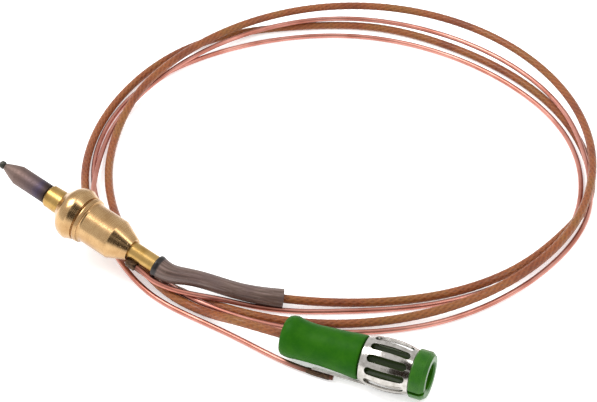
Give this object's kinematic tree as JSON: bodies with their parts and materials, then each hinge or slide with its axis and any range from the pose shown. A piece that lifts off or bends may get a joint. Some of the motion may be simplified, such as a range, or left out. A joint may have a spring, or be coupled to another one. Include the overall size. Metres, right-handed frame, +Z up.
{
  "type": "gas hob thermocouple",
  "caption": "Flame-failure thermocouple: steel probe in a brass body, coiled braided lead with a bare copper return wire, and a push-on coaxial connector.",
  "frame": {"origin": "on the axis of the brass mounting body, in the plane of the front edge of its barrel", "axes": "+Z up from the surface the coil lies on, +X the horizontal heading of the probe from hot tip to lead, +Y towards the middle of the coil"},
  "size_m": [0.1072, 0.1114, 0.0152],
  "materials": {
    "weld_bead": "dark oxidised weld bead",
    "sheath_steel": "drawn steel with purple-grey heat tint",
    "rod_alloy": "drawn nickel-copper alloy",
    "ceramic": "matt fired ceramic",
    "yellow_brass": "bright yellow brass",
    "turned_brass": "fine-turned satin brass",
    "bush": "brown phenolic",
    "dark_crimp": "darkened crimp and braze",
    "grey_sleeve": "satin grey sleeving with fine grooves",
    "brown_braid": "varnished glass-fibre braid",
    "copper": "bare drawn copper",
    "green_soft": "satin soft green plastic",
    "nickel": "nickel-plated spring sheet",
    "green_hard": "moulded green plastic"
  },
  "bodies": {
    "lead_and_ends": {"hot_junction_bead": "weld_bead", "probe_sheath": "sheath_steel", "thermo_rod": "rod_alloy", "sheath_ceramic": "ceramic", "carrier_tube": "yellow_brass", "mounting_body": "turned_brass", "rear_bush": "bush", "cold_crimp": "dark_crimp", "earth_clip": "dark_crimp", "insulating_sleeve": "grey_sleeve", "lead_braid": "brown_braid", "lead_core": "copper", "return_wire": "copper", "contact_basket": "nickel", "lead_bush": "bush", "core_ferrule": "dark_crimp", "centre_socket": "nickel", "nose_insulator": "green_hard", "tab_crimp": "dark_crimp"},
    "boot": {"boot": "green_soft"}
  },
  "joints": [
    {"name": "boot_slide", "type": "slide", "parent": "lead_and_ends", "child": "boot", "axis": [-0.9781, -0.2079, 0], "range_m": [0, 0.005]}
  ]
}
